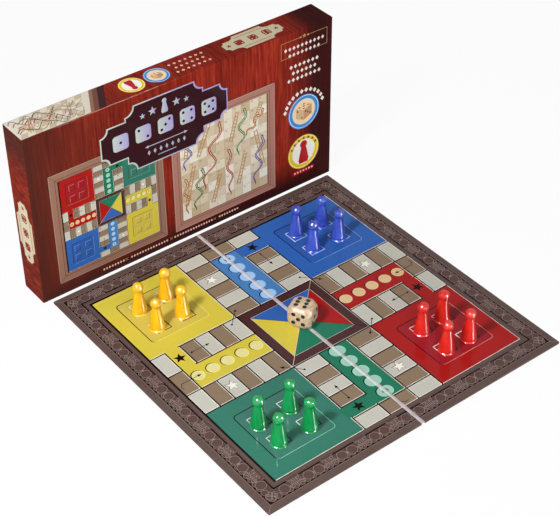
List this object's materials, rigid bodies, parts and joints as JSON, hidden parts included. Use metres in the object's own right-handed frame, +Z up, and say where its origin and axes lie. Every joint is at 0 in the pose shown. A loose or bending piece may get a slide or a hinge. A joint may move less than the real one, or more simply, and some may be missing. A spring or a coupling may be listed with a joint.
{
  "type": "ludo board game",
  "caption": "Folding ludo board laid flat with pawns on its corner yards and a wooden die on the crease, and its closed telescoping carton standing behind it on a long edge.",
  "frame": {"origin": "on the table, under the middle of the whole layout of board and box", "axes": "+X along the box to the right as seen from the board's front, +Y from the board to the box, +Z up"},
  "size_m": [0.47, 0.5034, 0.25],
  "materials": {
    "lid_carton": "glossy laminated print",
    "tray_carton": "uncoated",
    "greyboard": "raw",
    "ludo_print": "glossy laminated print",
    "snakes_print": "glossy laminated print",
    "spine_print": "worn crease",
    "spine_tape": "woven tape",
    "yellow_plastic": "glossy",
    "blue_plastic": "glossy",
    "red_plastic": "glossy",
    "green_plastic": "glossy",
    "die_wood": "satin lacquer"
  },
  "bodies": {
    "box_lid": {"box_lid": "lid_carton"},
    "box_tray": {"box_tray": "tray_carton"},
    "board_left": {"board_core_left": "greyboard", "ludo_print_left": "ludo_print", "snakes_print_left": "snakes_print"},
    "board_spine": {"spine_print": "spine_print", "spine_tape": "spine_tape"},
    "board_right": {"board_core_right": "greyboard", "ludo_print_right": "ludo_print", "snakes_print_right": "snakes_print"},
    "yellow_pawn_1": {"yellow_pawn_1": "yellow_plastic"},
    "yellow_pawn_2": {"yellow_pawn_2": "yellow_plastic"},
    "yellow_pawn_3": {"yellow_pawn_3": "yellow_plastic"},
    "yellow_pawn_4": {"yellow_pawn_4": "yellow_plastic"},
    "blue_pawn_1": {"blue_pawn_1": "blue_plastic"},
    "blue_pawn_2": {"blue_pawn_2": "blue_plastic"},
    "blue_pawn_3": {"blue_pawn_3": "blue_plastic"},
    "blue_pawn_4": {"blue_pawn_4": "blue_plastic"},
    "red_pawn_1": {"red_pawn_1": "red_plastic"},
    "red_pawn_2": {"red_pawn_2": "red_plastic"},
    "red_pawn_3": {"red_pawn_3": "red_plastic"},
    "red_pawn_4": {"red_pawn_4": "red_plastic"},
    "green_pawn_1": {"green_pawn_1": "green_plastic"},
    "green_pawn_2": {"green_pawn_2": "green_plastic"},
    "green_pawn_3": {"green_pawn_3": "green_plastic"},
    "green_pawn_4": {"green_pawn_4": "green_plastic"},
    "wooden_die": {"wooden_die": "die_wood"}
  },
  "joints": [
    {"name": "tray_slide", "type": "slide", "parent": "box_lid", "child": "box_tray", "axis": [0, 1, 0], "range_m": [0, 0.12]},
    {"name": "board_raise", "type": "hinge", "parent": "box_lid", "child": "board_left", "pos_m": [-0.225, -0.0267, 0], "axis": [0, -1, 0], "range_deg": [0, 90]},
    {"name": "spine_fold_left", "type": "hinge", "parent": "board_left", "child": "board_spine", "pos_m": [-0.0025, -0.0267, 0.00215], "axis": [0, 1, 0], "range_deg": [0, 90]},
    {"name": "spine_fold_right", "type": "hinge", "parent": "board_spine", "child": "board_right", "pos_m": [0.0025, -0.0267, 0.00215], "axis": [0, 1, 0], "range_deg": [0, 90]},
    {"name": "yellow_pawn_1_lift", "type": "slide", "parent": "board_left", "child": "yellow_pawn_1", "axis": [0, 0, 1], "range_m": [0, 0.08]},
    {"name": "yellow_pawn_2_lift", "type": "slide", "parent": "board_left", "child": "yellow_pawn_2", "axis": [0, 0, 1], "range_m": [0, 0.08]},
    {"name": "yellow_pawn_3_lift", "type": "slide", "parent": "board_left", "child": "yellow_pawn_3", "axis": [0, 0, 1], "range_m": [0, 0.08]},
    {"name": "yellow_pawn_4_lift", "type": "slide", "parent": "board_left", "child": "yellow_pawn_4", "axis": [0, 0, 1], "range_m": [0, 0.08]},
    {"name": "blue_pawn_1_lift", "type": "slide", "parent": "board_right", "child": "blue_pawn_1", "axis": [0, 0, 1], "range_m": [0, 0.08]},
    {"name": "blue_pawn_2_lift", "type": "slide", "parent": "board_right", "child": "blue_pawn_2", "axis": [0, 0, 1], "range_m": [0, 0.08]},
    {"name": "blue_pawn_3_lift", "type": "slide", "parent": "board_right", "child": "blue_pawn_3", "axis": [0, 0, 1], "range_m": [0, 0.08]},
    {"name": "blue_pawn_4_lift", "type": "slide", "parent": "board_right", "child": "blue_pawn_4", "axis": [0, 0, 1], "range_m": [0, 0.08]},
    {"name": "red_pawn_1_lift", "type": "slide", "parent": "board_right", "child": "red_pawn_1", "axis": [0, 0, 1], "range_m": [0, 0.08]},
    {"name": "red_pawn_2_lift", "type": "slide", "parent": "board_right", "child": "red_pawn_2", "axis": [0, 0, 1], "range_m": [0, 0.08]},
    {"name": "red_pawn_3_lift", "type": "slide", "parent": "board_right", "child": "red_pawn_3", "axis": [0, 0, 1], "range_m": [0, 0.08]},
    {"name": "red_pawn_4_lift", "type": "slide", "parent": "board_right", "child": "red_pawn_4", "axis": [0, 0, 1], "range_m": [0, 0.08]},
    {"name": "green_pawn_1_lift", "type": "slide", "parent": "board_left", "child": "green_pawn_1", "axis": [0, 0, 1], "range_m": [0, 0.08]},
    {"name": "green_pawn_2_lift", "type": "slide", "parent": "board_left", "child": "green_pawn_2", "axis": [0, 0, 1], "range_m": [0, 0.08]},
    {"name": "green_pawn_3_lift", "type": "slide", "parent": "board_left", "child": "green_pawn_3", "axis": [0, 0, 1], "range_m": [0, 0.08]},
    {"name": "green_pawn_4_lift", "type": "slide", "parent": "board_left", "child": "green_pawn_4", "axis": [0, 0, 1], "range_m": [0, 0.08]},
    {"name": "die_lift", "type": "slide", "parent": "board_spine", "child": "wooden_die", "axis": [0, 0, 1], "range_m": [0, 0.08]}
  ],
  "couplings": [
    {"joint": "spine_fold_left", "follows": "board_raise", "ratio": 1},
    {"joint": "spine_fold_right", "follows": "board_raise", "ratio": 1}
  ]
}
